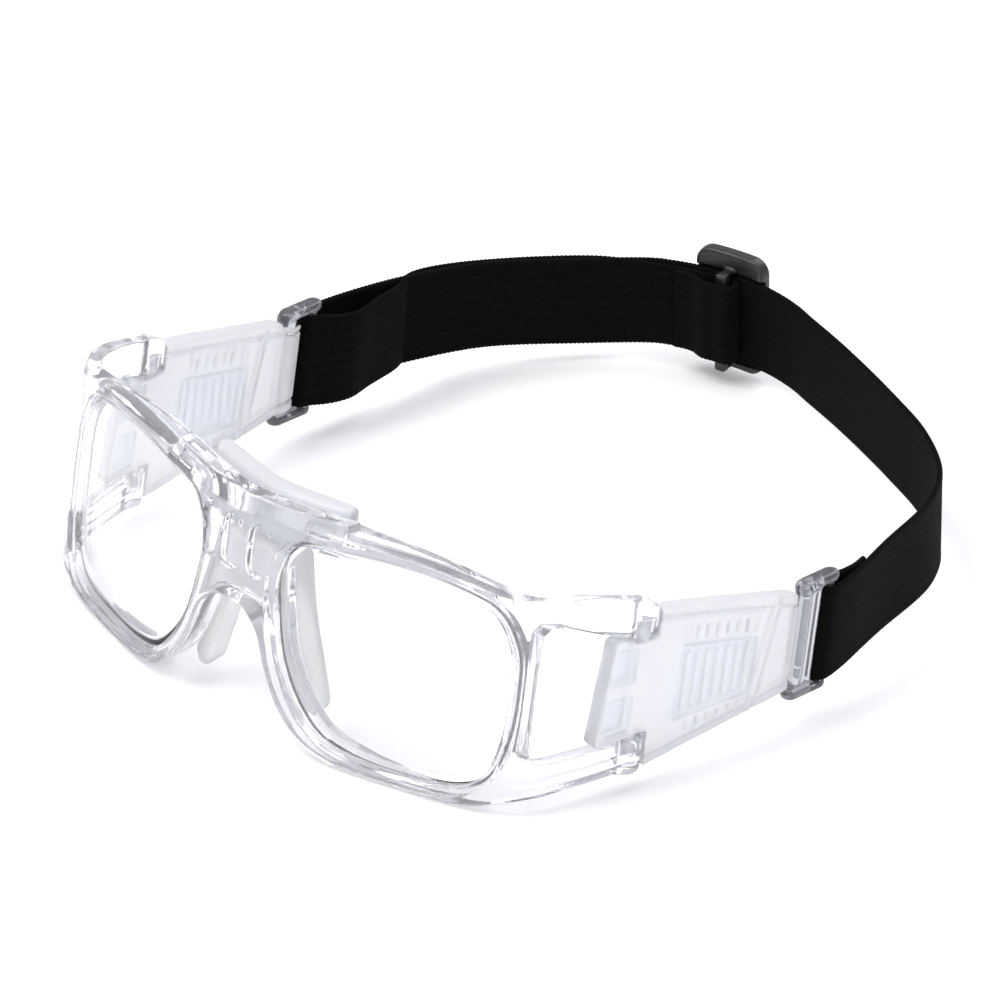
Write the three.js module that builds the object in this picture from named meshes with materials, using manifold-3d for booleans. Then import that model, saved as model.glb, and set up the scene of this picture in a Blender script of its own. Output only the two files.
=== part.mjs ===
// Sports protective goggles with an elastic head strap.
// Millimetres. +X is the wearer's left, -Y is the way the lenses face, +Z is up.
import * as THREE from 'three';
import { mergeVertices } from 'three/addons/utils/BufferGeometryUtils.js';
import Module from 'manifold-3d';

const wasm = await Module();
wasm.setup();

// --- driving dimensions ---------------------------------------------------
const GAP = 0.3;                 // running and seating gap between separate pieces
const LEAN = 0.165;              // the whole front and both arms lean back by this much per mm of height
const LEAN_LEVEL = 42;           // height at which the leaning plan is drawn true
const FRAME_TOP = 48;
const LEDGE_FRONT = 0.9;         // the brow ledge stands on the bridge between these depths
const LEDGE_BACK = 5.4;
const RIM_DEPTH = 7.5;           // front to back over the lenses
const SIDE_THICK = 3.6;          // wall of the side forks
const LENS_FRONT = 2.8;          // lens face behind the frame's front face
const LENS_THICK = 2.0;
const LENS_BITE = 0.8;           // how far the lens edge sits inside its groove
const HINGE_X = 73.2;
const HINGE_Y = -39.5;
const EYE_R = 2.9;               // hinge eye at the end of each fork
const PIN_R = 1.4;               // moulded boss on the arm
const LOWER_FORK_TOP = 11.3;
const UPPER_FORK_LOW = 33.4;
const ARM_THICK = 4.0;
const ARM_SPLAY = 0.08;          // sideways per mm of length
const RING_X = 76.5;
const RING_FRONT_Y = 1.9;        // centre of the ring's front bar
const RING_PITCH = 6.6;          // front bar to rear bar
const RING_BAR_R = 1.6;
const REAR_BAR_R = 1.25;
const RING_LOW = 5.8;
const RING_HIGH = 30.6;
const RING_CAP = 2.0;            // height of the ring's top and bottom caps
const RING_THICK = 4.0;
const HOOK_WALL = 1.0;
const STRAP_WIDE = 20;
const STRAP_THICK = 1.2;
const STRAP_RING_LEVEL = 8.2;    // strap's lower edge at the rings
const STRAP_BACK_LEVEL = 4;      // and at the back, where the slider stands on the floor
const SAG_START = 14;            // the strap sinks between these distances behind the rings
const SAG_END = 74;
const UPRIGHT_START = 16;        // and stands up from the rings' lean to vertical between these
const UPRIGHT_END = 50;
const ARC_X = -26;               // centre of the strap's back bend, where the slider travels
const ARC_Y = 42.6;
const ARC_R = 45;
const SLIDER_ANGLE = -13;        // slider's place on the bend, degrees from straight back
const SLIDER_HALF = 10.5;        // half its length along the bend, in degrees
const SLIDER_LOW = 1.3;
const SLIDER_HIGH = 26.7;
const SLIDER_CAP = 2.4;          // height of its top and bottom rails
const SLIDER_BAR = 2.6;          // width of the slider's upright bars, along the strap
const SLIDER_WALL = 1.8;         // and their thickness
const SLIDER_DEEP = 3.1;         // front to back of the rails
const CENTRE_BAR = 2.2;          // half the centre bar's width, in degrees

// --- small helpers --------------------------------------------------------
const rad = THREE.MathUtils.degToRad;
const v2 = (x, y) => new THREE.Vector2(x, y);
const points = (list) => list.map(([a, b]) => v2(a, b));
const smooth = (a, b, t) => THREE.MathUtils.smoothstep(t, a, b);

function toSolid(geometry) {
  const clean = geometry.clone();
  clean.deleteAttribute('normal');
  clean.deleteAttribute('uv');
  const welded = mergeVertices(clean, 1e-4);
  const vertProperties = new Float32Array(welded.attributes.position.array);
  const triVerts = new Uint32Array(welded.index.array);
  return new wasm.Manifold(new wasm.Mesh({ numProp: 3, vertProperties, triVerts }));
}

function toGeometry(solid) {
  const mesh = solid.getMesh();
  const geometry = new THREE.BufferGeometry();
  const position = new Float32Array(mesh.numVert * 3);
  for (let i = 0; i < mesh.numVert; i += 1) {
    for (let k = 0; k < 3; k += 1) {
      position[i * 3 + k] = mesh.vertProperties[i * mesh.numProp + k];
    }
  }
  geometry.setAttribute('position', new THREE.BufferAttribute(position, 3));
  geometry.setIndex(new THREE.BufferAttribute(new Uint32Array(mesh.triVerts), 1));
  return geometry;
}

const join = (list) => list.reduce((sum, next) => sum.add(next));
const cut = (solid, list) => list.reduce((left, next) => left.subtract(next), solid);

function extrude(outline, depth, bevel = 0) {
  const shape = outline instanceof THREE.Shape ? outline : new THREE.Shape(outline);
  return new THREE.ExtrudeGeometry(shape, {
    depth: depth - 2 * bevel,
    bevelEnabled: bevel > 0,
    bevelThickness: bevel,
    bevelSize: bevel,
    bevelOffset: -bevel,
    bevelSegments: 1,
    curveSegments: 8,
  }).translate(0, 0, bevel);
}

// A plan outline (x, y) raised from one height to another.
const raise = (outline, low, high, bevel = 0) => extrude(outline, high - low, bevel).translate(0, 0, low);

// A front outline (x, z) driven from y0 to y1.
function driveBack(outline, y0, y1, bevel = 0) {
  return extrude(outline, y1 - y0, bevel).rotateX(Math.PI / 2).translate(0, y1, 0);
}

// A side outline (y, z) driven from x0 to x1.
function driveAcross(outline, x0, x1, bevel = 0) {
  const turn = new THREE.Matrix4().set(0, 0, 1, x0, 1, 0, 0, 0, 0, 1, 0, 0, 0, 0, 0, 1);
  return extrude(outline, x1 - x0, bevel).applyMatrix4(turn);
}

function post(x, y, low, high, radius, sides = 20) {
  return new THREE.CylinderGeometry(radius, radius, high - low, sides)
    .rotateX(Math.PI / 2)
    .translate(x, y, (low + high) / 2);
}

function block(x0, x1, y0, y1, z0, z1) {
  return new THREE.BoxGeometry(x1 - x0, y1 - y0, z1 - z0)
    .translate((x0 + x1) / 2, (y0 + y1) / 2, (z0 + z1) / 2);
}

function mirrorX(geometry) {
  const copy = geometry.clone();
  const position = copy.attributes.position;
  for (let i = 0; i < position.count; i += 1) position.setX(i, -position.getX(i));
  const flat = copy.index ? copy.toNonIndexed() : copy;
  const a = flat.attributes.position;
  for (let i = 0; i < a.count; i += 3) {
    const [x, y, z] = [a.getX(i + 1), a.getY(i + 1), a.getZ(i + 1)];
    a.setXYZ(i + 1, a.getX(i + 2), a.getY(i + 2), a.getZ(i + 2));
    a.setXYZ(i + 2, x, y, z);
  }
  flat.deleteAttribute('normal');
  flat.deleteAttribute('uv');
  return mergeVertices(flat, 1e-4);
}

// The upright construction is leaned back to its worn attitude.
const leanMatrix = new THREE.Matrix4().set(1, 0, 0, 0, 0, 1, LEAN, -LEAN * LEAN_LEVEL, 0, 0, 1, 0, 0, 0, 0, 1);
const lean = (geometry) => geometry.clone().applyMatrix4(leanMatrix);

function spline(list, count, closed = false) {
  const through = list.map(([a, b]) => new THREE.Vector3(a, b, 0));
  const curve = new THREE.CatmullRomCurve3(through, closed, 'centripetal');
  const all = curve.getSpacedPoints(count);
  if (closed) all.pop();
  return all.map((p) => v2(p.x, p.y));
}

// Offsets an open polyline to its left by a distance that may vary along it.
function offset(line, distance) {
  const far = typeof distance === 'function' ? distance : () => distance;
  return line.map((p, i) => {
    const a = line[Math.max(i - 1, 0)];
    const b = line[Math.min(i + 1, line.length - 1)];
    const along = b.clone().sub(a).normalize();
    return v2(p.x - along.y * far(p, i), p.y + along.x * far(p, i));
  });
}

// --- plan of the front: one wrap line from the left fork end to the right --
const HALF_WRAP = [[0, -82.4], [12, -80.8], [25, -77.7], [38, -74.2], [50, -70.8], [60, -67.6], [66.2, -64.4],
  [69.8, -60.2], [71.8, -54], [73.5, -46.5], [74.7, -38.6]];
const rightWrap = spline([[-12, -80.8], ...HALF_WRAP], 56).filter((p) => p.x > 0.5);
const wrap = [...rightWrap.map((p) => v2(-p.x, p.y)).reverse(), v2(0, -82.4), ...rightWrap];
const wallThick = (p) => RIM_DEPTH + (SIDE_THICK - RIM_DEPTH) * smooth(-70, -61, p.y);

function wrapShell(front, back, low, high) {
  const from = typeof front === 'function' ? front : () => front;
  const to = typeof back === 'function' ? back : () => back;
  const outline = [...offset(wrap, from), ...offset(wrap, to).reverse()];
  return raise(outline, low, high);
}

// --- front outlines (x, z) -------------------------------------------------
const OPENING = [[14.5, 42.2], [25, 43.4], [37, 44], [50, 43.5], [58.5, 41.2], [62.6, 34.7], [63.4, 25.6],
  [62.7, 13.8], [60.2, 6.8], [54.5, 3.7], [43.4, 2.8], [31.4, 3.2], [24.3, 5.2], [18.9, 10], [14.3, 17.7],
  [12, 25.8], [11.1, 34.8]];
const openingLine = spline(OPENING, 44, true);
const UNDERSIDE = [[0, 27.3], [4.5, 26.3], [8, 23], [10.7, 16.8], [15.4, 8.6], [22, 2.9], [29, 0.7]];
const OUTER_UNDERSIDE = [[56, 0.6], [61, 1.6], [66, 3.2], [72, 4.4], [90, 4.4]];

function grow(line, by) {
  const centre = line.reduce((sum, p) => sum.add(p), v2(0, 0)).divideScalar(line.length);
  return line.map((p, i) => {
    const a = line[(i + line.length - 1) % line.length];
    const b = line[(i + 1) % line.length];
    const along = b.clone().sub(a).normalize();
    const out = v2(along.y, -along.x);
    const sign = out.dot(p.clone().sub(centre)) > 0 ? 1 : -1;
    return p.clone().addScaledVector(out, sign * by);
  });
}
const flipLine = (line) => line.map((p) => v2(-p.x, p.y)).reverse();

// --- front frame -----------------------------------------------------------
function frontFrame() {
  const band = toSolid(wrapShell(0, wallThick, 0, FRAME_TOP));
  const ledge = toSolid(wrapShell(LEDGE_FRONT, LEDGE_BACK, FRAME_TOP - 2.4, FRAME_TOP + 1.4))
    .intersect(toSolid(block(-25, 25, -90, -60, 0, 60)));
  const half = [...spline(UNDERSIDE, 16), v2(36, 0), v2(50, 0), ...spline(OUTER_UNDERSIDE, 8)];
  const below = [...half, v2(90, -5), v2(-90, -5), ...flipLine(half.slice(1))];
  const above = points([[-70, 60], [-70, 48.2], [-62, 46.4], [-56, 45.2], [-48, 43.2], [-42, 41.4],
    [-39, 40.2], [-36.4, 38.2], [-35, 37.6], [-35, 60]]);
  const crownEdge = spline([[30, 48.6], [46, 47.6], [58, 46.2], [66, 45.4], [90, 45.2]], 8);
  const crown = [v2(30, 60), ...crownEdge, v2(90, 60)];
  const fork = points([[-61.6, 13], [-60.6, 11.8], [-59, LOWER_FORK_TOP], [-30, LOWER_FORK_TOP],
    [-30, UPPER_FORK_LOW], [-42, UPPER_FORK_LOW], [-50, 36], [-58, 39.6], [-60.6, 39.8], [-61.6, 38.4]]);
  const cutters = [toSolid(driveBack(below, -100, -20)), toSolid(driveAcross(above, -90, 90))];
  const eyes = [];
  for (const side of [1, -1]) {
    const face = side > 0 ? openingLine : flipLine(openingLine);
    const inner = [side * 65.4, side * 90].sort((a, b) => a - b);
    cutters.push(toSolid(driveBack(face, -95, -50)));
    cutters.push(toSolid(driveBack(side > 0 ? crown : flipLine(crown), -100, -50)));
    cutters.push(toSolid(wrapShell(LENS_FRONT - GAP, LENS_FRONT + LENS_THICK + GAP, -2, 60))
      .intersect(toSolid(driveBack(grow(face, LENS_BITE + GAP), -95, -50))));
    cutters.push(toSolid(driveAcross(fork, ...inner)));
    eyes.push(toSolid(post(side * HINGE_X, HINGE_Y, 4.4, LOWER_FORK_TOP, EYE_R)));
    eyes.push(toSolid(post(side * HINGE_X, HINGE_Y, UPPER_FORK_LOW, 39.6, EYE_R)));
  }
  const bores = [1, -1].flatMap((side) => [
    toSolid(post(side * HINGE_X, HINGE_Y, 7.6, LOWER_FORK_TOP + 1, PIN_R + GAP)),
    toSolid(post(side * HINGE_X, HINGE_Y, UPPER_FORK_LOW - 1, 36.6, PIN_R + GAP)),
  ]);
  const flutes = [-7.1, 0, 7.1].map((x) => {
    const slot = new THREE.Shape();
    slot.absarc(x, 42.4, 2.6, 0, Math.PI);
    slot.absarc(x, 36.4, 2.6, Math.PI, 2 * Math.PI);
    return toSolid(driveBack(slot, -90, -81.2 + Math.abs(x) * 0.12));
  });
  const dimples = [-7.1, 0, 7.1].map((x) => toSolid(
    block(x - 1.5, x + 1.5, -79.6, -77.6, FRAME_TOP + 0.5, 60)));
  const shell = cut(join([band, ledge]), cutters);
  return toGeometry(cut(join([shell, ...eyes]), [...bores, ...flutes, ...dimples]));
}

function lensBlank() {
  return toGeometry(toSolid(wrapShell(LENS_FRONT, LENS_FRONT + LENS_THICK, -2, 60))
    .intersect(toSolid(driveBack(grow(openingLine, LENS_BITE), -95, -50))));
}

// --- soft pads behind the frame --------------------------------------------
const PAD_START = RIM_DEPTH + GAP;

function browPad() {
  const outline = points([[-20, 38.5], [20, 38.5], [21, 39.5], [21, 47.7], [19.6, 49], [-19.6, 49],
    [-21, 47.7], [-21, 39.5]]);
  return toGeometry(toSolid(wrapShell(PAD_START, PAD_START + 4.2, 30, 50))
    .intersect(toSolid(driveBack(outline, -90, -50))));
}

function nosePad() {
  const inner = spline([[13.4, 3.6], [10.6, 12], [8.2, 20], [5, 25.4], [0, 27.2]], 10);
  const outer = spline([[0, 37.9], [6, 37.9], [9.2, 36.4], [10.6, 31], [11.8, 25.5], [13.8, 19], [16.4, 11],
    [17.6, 5.6], [16, 3.4]], 16);
  const saddle = [...outer, ...inner, ...flipLine(inner.slice(0, -1)), ...flipLine(outer.slice(1))];
  return toGeometry(toSolid(wrapShell(PAD_START, PAD_START + 6.4, -2, 40))
    .intersect(toSolid(driveBack(saddle, -90, -50))));
}

// --- temple arm (right-hand side of the plan, mirrored for the other) -------
function templeArm() {
  const plate = points([[-49.6, 13.4], [-48.8, 12.3], [-38, 12.3], [-38, 5.4], [-37, 4.6], [-20, 6.6],
    [2, 9.2], [2, 28.6], [-14, 32.6], [-30, 36.6], [-37, 38], [-38, 37.2], [-38, 32.3], [-42, 32.9],
    [-46.4, 34.2], [-47.4, 33.6]]);
  const body = driveAcross(plate, HINGE_X - ARM_THICK / 2, HINGE_X + ARM_THICK / 2, 0.4);
  const splayed = body.applyMatrix4(new THREE.Matrix4().set(
    1, ARM_SPLAY, 0, -ARM_SPLAY * HINGE_Y, 0, 1, 0, 0, 0, 0, 1, 0, 0, 0, 0, 1));
  const recess = points([[-29, 12.4], [-12.5, 13.4], [-12.5, 24.4], [-29, 27.6]]);
  const faceX = HINGE_X + ARM_THICK / 2 + ARM_SPLAY * (-20 - HINGE_Y);
  const ribs = Array.from({ length: 6 }, (_, i) => {
    const y = -27.6 + i * 2.75;
    return toSolid(block(faceX - 1.6, faceX - 0.3, y - 0.55, y + 0.55, 14.4, 25.2 - i * 0.4));
  });
  const hook = toSolid(post(RING_X, RING_FRONT_Y, 9.2, 27.4, RING_BAR_R + GAP + HOOK_WALL));
  const arm = cut(join([toSolid(splayed), hook]), [
    toSolid(post(HINGE_X, HINGE_Y, 0, 12.3, EYE_R + 0.45)),
    toSolid(post(HINGE_X, HINGE_Y, 32.3, 50, EYE_R + 0.45)),
    toSolid(post(RING_X, RING_FRONT_Y, 0, 50, RING_BAR_R + GAP)),
    toSolid(block(RING_X + 0.2, 90, -0.9, 20, 0, 50)),
    toSolid(block(60, 90, RING_FRONT_Y + RING_BAR_R + GAP + HOOK_WALL, 20, 0, 50)),
    toSolid(driveAcross(recess, faceX - 1.0, 90)),
    ...ribs,
  ]);
  const bosses = [post(HINGE_X, HINGE_Y, 8.2, 14, PIN_R), post(HINGE_X, HINGE_Y, 31, 36.0, PIN_R)];
  return toGeometry(join([arm, ...bosses.map(toSolid)]));
}

// --- strap ring --------------------------------------------------------------
function strapRing() {
  const front = RING_FRONT_Y;
  const rear = RING_FRONT_Y + RING_PITCH;
  const plan = new THREE.Shape();
  plan.absarc(RING_X, front, RING_THICK / 2, Math.PI, 2 * Math.PI);
  plan.absarc(RING_X, rear, RING_THICK / 2, 0, Math.PI);
  const bottom = toSolid(raise(plan, RING_LOW, RING_LOW + RING_CAP, 0.6));
  const top = toSolid(raise(plan, RING_HIGH - RING_CAP, RING_HIGH, 0.6));
  const frontBar = toSolid(post(RING_X, front, RING_LOW + 1, RING_HIGH - 1, RING_BAR_R, 16));
  const rearBar = toSolid(post(RING_X, rear, RING_LOW + 1, RING_HIGH - 1, REAR_BAR_R, 16));
  return toGeometry(join([bottom, top, frontBar, rearBar]));
}

// --- strap -------------------------------------------------------------------
const STRAP_SAG = STRAP_RING_LEVEL - STRAP_BACK_LEVEL;
const drop = (y) => STRAP_BACK_LEVEL + STRAP_SAG * (1 - smooth(SAG_START, SAG_END, y));
const leanAt = (y, z) => LEAN * (z - LEAN_LEVEL) * (1 - smooth(UPRIGHT_START, UPRIGHT_END, y));

// A strap length: a plan line thickened to one layer, raised, then set to the strap's level and lean.
function webbing(line, low = 0, high = STRAP_WIDE, thick = STRAP_THICK) {
  const outline = [...offset(line, -thick / 2), ...offset(line, thick / 2).reverse()];
  if (THREE.ShapeUtils.isClockWise(outline)) outline.reverse();
  const geometry = raise(outline, low, high);
  const position = geometry.attributes.position;
  for (let i = 0; i < position.count; i += 1) {
    const y = position.getY(i);
    const z = position.getZ(i) + drop(y);
    position.setZ(i, z);
    position.setY(i, y + leanAt(y, z));
  }
  return geometry;
}

const LAP = STRAP_THICK + GAP;                  // middle of one layer to the middle of the next
const LAYER = REAR_BAR_R + GAP + STRAP_THICK / 2 + 0.1;   // ring bar's centre to the middle of a strap layer
const RING_REAR_Y = RING_FRONT_Y + RING_PITCH;
const LOOP_END_Y = 9;                           // where the ring loops end and the long layers begin
const NODE_GAP = 0.4;                           // clear space between one strap length and the next

function arcPoint(angle, radius = ARC_R) {
  return [ARC_X + radius * Math.sin(rad(angle)), ARC_Y + radius * Math.cos(rad(angle))];
}
const arcRun = (from, to, radius, step = 5) => {
  const count = Math.max(1, Math.round(Math.abs(to - from) / step));
  return Array.from({ length: count + 1 }, (_, i) => arcPoint(from + ((to - from) * i) / count, radius));
};

const RIGHT_SIDE = [[-78, 20], [-75.9, 36], [-71.2, 53], [-60, 70.3]];
const LEFT_SIDE = [[2.4, 81.6], [24.2, 74.6], [39.4, 68.6], [53.8, 59], [63, 47.2], [71.4, 29], [76.9, 16]];
const SLIDE_FROM = -35;                         // the bend is a true arc between these angles
const SLIDE_TO = 18;
const outerLine = spline([[-RING_X - LAYER, LOOP_END_Y], ...RIGHT_SIDE,
  ...arcRun(SLIDE_FROM, SLIDE_TO, ARC_R), ...LEFT_SIDE, [RING_X + LAYER, LOOP_END_Y]], 104);

// Round a ring's rear bar: out along one side, across its front, back along the other.
function ringTurn(outerEnd, innerEnd) {
  const bend = Array.from({ length: 7 }, (_, i) => {
    const turn = (i * Math.PI) / 6;
    return [LAYER * Math.cos(turn), RING_REAR_Y - LAYER * Math.sin(turn)];
  });
  return [...outerEnd, ...bend, ...innerEnd].map(([x, y]) => [RING_X + x, y]);
}

// On the wearer's left the strap's end folds round the ring and is sewn back on itself.
function sewnLoop() {
  const line = ringTurn([[LAYER, LOOP_END_Y - NODE_GAP]],
    [[-2.0, 10.5], [-1.8, 12.6], [-2.0, 14.8], [-3.7, 18.2]]);
  return webbing(spline(line, 34));
}

// On the wearer's right it passes through the ring and runs back as the inner layer.
function plainLoop() {
  const line = ringTurn([[LAYER, LOOP_END_Y - NODE_GAP]], [[-LAYER, LOOP_END_Y - NODE_GAP]]);
  return webbing(spline(line.map(([x, y]) => [-x, y]), 22));
}

// The inner layer leaves the left ring, bellies inwards, then lies against the outer layer.
const INNER_END = SLIDER_ANGLE - SLIDER_HALF - 5;
function innerLayer() {
  const belly = [[-RING_X + LAYER, LOOP_END_Y], [-71.6, 12.5], [-70.6, 16.5], [-72.2, 22.5], [-74.4, 30]];
  const along = offset(points(RIGHT_SIDE), -LAP - 0.2).slice(1).map((p) => [p.x, p.y]);
  const back = arcRun(SLIDE_FROM + 2, INNER_END - 0.6, ARC_R - LAP, 4);
  return webbing(spline([...belly, ...along, ...back], 56), 0.3, STRAP_WIDE - 0.3);
}

// --- slider --------------------------------------------------------------------
function sector(from, to, inner, outer) {
  return [...arcRun(from, to, inner, 3), ...arcRun(to, from, outer, 3)].map(([x, y]) => v2(x, y));
}
const OUTER_FACE = ARC_R + STRAP_THICK / 2 + GAP;
const CENTRE_OUT = ARC_R - LAP - STRAP_THICK / 2 - GAP;

function sectorSolid(from, to, inner, outer, low, high, bevel = 0) {
  const outline = sector(from, to, inner, outer);
  if (THREE.ShapeUtils.isClockWise(outline)) outline.reverse();
  return toSolid(raise(outline, low, high, bevel));
}

function slider() {
  const from = SLIDER_ANGLE - SLIDER_HALF;
  const to = SLIDER_ANGLE + SLIDER_HALF;
  const barAngle = THREE.MathUtils.radToDeg(SLIDER_BAR / ARC_R);
  const bars = [[from, from + barAngle], [to - barAngle, to]].map(
    ([a, b]) => sectorSolid(a, b, OUTER_FACE, OUTER_FACE + SLIDER_WALL, SLIDER_LOW + 1, SLIDER_HIGH - 1));
  const centre = sectorSolid(SLIDER_ANGLE - CENTRE_BAR, SLIDER_ANGLE + CENTRE_BAR,
    CENTRE_OUT - SLIDER_WALL, CENTRE_OUT, SLIDER_LOW + 1, SLIDER_HIGH - 1);
  const rails = [SLIDER_LOW, SLIDER_HIGH - SLIDER_CAP].map((low) => sectorSolid(
    from, to, OUTER_FACE + SLIDER_WALL - SLIDER_DEEP, OUTER_FACE + SLIDER_WALL, low, low + SLIDER_CAP, 0.5));
  const arms = [SLIDER_LOW + 1, SLIDER_HIGH - SLIDER_CAP].map((low) => sectorSolid(
    SLIDER_ANGLE - CENTRE_BAR, SLIDER_ANGLE + CENTRE_BAR,
    CENTRE_OUT - SLIDER_WALL, OUTER_FACE + SLIDER_WALL - 1, low, low + SLIDER_CAP - 1));
  return toGeometry(join([...rails, ...arms, ...bars, centre]));
}

// The inner layer's end passes over the centre bar, round it and back, where it is sewn down.
function sliderWrap() {
  const over = ARC_R - LAP;
  const under = CENTRE_OUT - SLIDER_WALL - GAP - STRAP_THICK / 2;
  const far = SLIDER_ANGLE + CENTRE_BAR;
  const middle = (over + under) / 2;
  const line = [...arcRun(INNER_END, far + 0.2, over, 4), arcPoint(far + 1.5, middle + 1.2),
    arcPoint(far + 1.5, middle - 1.2), ...arcRun(far + 0.2, SLIDER_ANGLE - 5, under, 4),
    arcPoint(SLIDER_ANGLE - 9, over - LAP - 0.5), arcPoint(SLIDER_ANGLE - 13, over - LAP),
    arcPoint(INNER_END + 0.4, over - LAP)];
  return webbing(spline(line, 44), 0.3, STRAP_WIDE - 0.3);
}

// --- assembly --------------------------------------------------------------------
const CLEAR_PLASTIC = { color: 0xdfe6ee, roughness: 0.12, opacity: 0.6, transparent: true };
const LENS = { color: 0xf2f6f8, roughness: 0.05, opacity: 0.35, transparent: true };
const SILICONE = { color: 0xeef1f4, roughness: 0.55 };
const FROSTED = { color: 0xdce4f2, roughness: 0.45 };
const RING_PLASTIC = { color: 0xc9d0d8, roughness: 0.1 };
const WEBBING = { color: 0x0c0c0d, roughness: 0.95 };
const BLACK_PLASTIC = { color: 0x1b1c1f, roughness: 0.4 };

function buildGoggles() {
  const lens = lean(lensBlank());
  const arm = lean(templeArm());
  const ring = lean(strapRing());
  const pieces = [
    ['front_frame', lean(frontFrame()), CLEAR_PLASTIC],
    ['lens_left', lens, LENS],
    ['lens_right', mirrorX(lens), LENS],
    ['brow_pad', lean(browPad()), SILICONE],
    ['nose_pad', lean(nosePad()), SILICONE],
    ['temple_arm_left', arm, FROSTED],
    ['temple_arm_right', mirrorX(arm), FROSTED],
    ['strap_ring_left', ring, RING_PLASTIC],
    ['strap_ring_right', mirrorX(ring), RING_PLASTIC],
    ['strap_outer', webbing(outerLine), WEBBING],
    ['strap_inner', innerLayer(), WEBBING],
    ['strap_loop_left', sewnLoop(), WEBBING],
    ['strap_loop_right', plainLoop(), WEBBING],
    ['strap_slider', slider(), BLACK_PLASTIC],
    ['strap_wrap', sliderWrap(), WEBBING],
  ];
  const root = new THREE.Group();
  root.name = 'sports_goggles';
  for (const [name, geometry, look] of pieces) {
    const mesh = new THREE.Mesh(geometry, new THREE.MeshStandardMaterial({ metalness: 0, ...look }));
    mesh.name = name;
    root.add(mesh);
  }
  const box = new THREE.Box3().setFromObject(root);
  const middle = box.getCenter(new THREE.Vector3());
  root.position.set(0, -middle.y, -box.min.z);
  return root;
}

export default buildGoggles();
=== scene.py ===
"""Sports protective goggles: the looks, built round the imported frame.

Everything is designed in millimetres in the upright plan that the frame was drawn in,
then leaned back and moved to the frame's place in metres.
"""
import math

import bmesh
import bpy
import numpy as np
from mathutils import Matrix, Vector


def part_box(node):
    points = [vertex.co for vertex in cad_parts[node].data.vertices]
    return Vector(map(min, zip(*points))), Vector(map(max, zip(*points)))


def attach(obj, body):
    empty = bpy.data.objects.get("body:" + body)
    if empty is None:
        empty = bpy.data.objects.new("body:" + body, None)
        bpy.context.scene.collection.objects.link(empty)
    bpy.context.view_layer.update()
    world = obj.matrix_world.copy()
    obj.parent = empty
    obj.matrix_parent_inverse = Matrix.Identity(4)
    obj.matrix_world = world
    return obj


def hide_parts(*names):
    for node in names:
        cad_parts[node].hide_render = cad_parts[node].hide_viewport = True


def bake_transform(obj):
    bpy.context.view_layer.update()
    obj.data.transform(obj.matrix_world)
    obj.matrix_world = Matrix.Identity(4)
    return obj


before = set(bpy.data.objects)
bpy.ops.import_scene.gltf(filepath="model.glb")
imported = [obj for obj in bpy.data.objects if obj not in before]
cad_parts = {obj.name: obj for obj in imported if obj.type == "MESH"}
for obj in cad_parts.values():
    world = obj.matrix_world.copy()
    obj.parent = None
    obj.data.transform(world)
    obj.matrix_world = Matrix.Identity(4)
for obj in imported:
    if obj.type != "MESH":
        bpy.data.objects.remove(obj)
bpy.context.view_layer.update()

# --- driving dimensions, millimetres ------------------------------------------
MM = 0.001
LEAN = 0.165                 # the front and arms lean back this much per mm of height
LEAN_LEVEL = 42
FRAME_TOP = 48
RIM_DEPTH = 7.5
SIDE_THICK = 3.6
LENS_FRONT, LENS_THICK, LENS_BITE = 2.8, 2.0, 0.8
LEDGE_TOP, LEDGE_EDGE, LEDGE_BACK, LEDGE_REACH, LEDGE_SLOPE = 49.4, 2.1, 5.4, 25, 1.6
LIP_WIDE, LIP_DEEP = 1.6, 1.1
FLUTES, FLUTE_LEVEL, FLUTE_HALF, FLUTE_R, FLUTE_DEEP = (-7.1, 0, 7.1), 39.4, 3.0, 2.6, 1.0
FORK_START, SIDE_BACK_Y = 64.6, -38.5
MARK_DEPTH, SCORED_LINES = 3.7, (6.4, 8.6)
PAD_THICK, PAD_LEVEL, PAD_HALF_HIGH, PAD_HALF_WIDE = 4.2, 43.75, 5.25, 20.0
GAP = 0.3
HINGE_X, HINGE_Y, EYE_R, PIN_R = 73.2, -39.5, 2.9, 1.4
LOWER_FORK_TOP, UPPER_FORK_LOW = 11.3, 33.4
# heights of the fork's eyes, their blind bores, the arm's bosses in them and the arm's cut-outs round them
EYE_SPANS = ((4.4, LOWER_FORK_TOP), (UPPER_FORK_LOW, 40.4))
BORE_SPANS = ((7.6, LOWER_FORK_TOP + 2), (UPPER_FORK_LOW - 2, 36.6))
BOSS_SPANS = ((8.2, 14), (31, 36))
EYE_ROOMS, EYE_CLEAR = ((-5, 12.3), (32.3, 50)), 0.45
ARM_THICK, ARM_SPLAY = 4.0, 0.08
RING_X, RING_FRONT_Y, RING_PITCH = 76.5, 1.9, 6.6
RING_BAR_R, REAR_BAR_R, FRONT_BAR_HALF = 1.6, 1.25, (1.5, 1.5)
FLANGE_X, FLANGE_Y, FLANGE_HALF = 1.1, 0.9, (0.8, 2.5)
HOOK_WALL, HOOK_LEVEL, HOOK_HALF = 1.0, 18.3, 9.1
RING_LOW, RING_HIGH, RING_CAP, RING_THICK = 5.8, 30.6, 2.0, 4.0
STRAP_WIDE, STRAP_THICK = 20.0, 1.2
STRAP_RING_LEVEL, STRAP_BACK_LEVEL = 8.2, 4.0
STRAP_MIDDLE = STRAP_BACK_LEVEL + STRAP_WIDE / 2
ARC_X, ARC_Y, ARC_R = -26.0, 42.6, 45.0
SLIDER_ANGLE, SLIDER_HALF, SLIDER_LOW, SLIDER_HIGH = -13.0, 10.5, 2.0, 28.6
SLIDER_DEEP, SLIDER_BAR, SLIDER_WALL, SLIDER_WINDOW = 3.1, 2.6, 1.8, 7.5
CENTRE_BAR = 2.2             # half the centre bar, degrees

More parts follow.
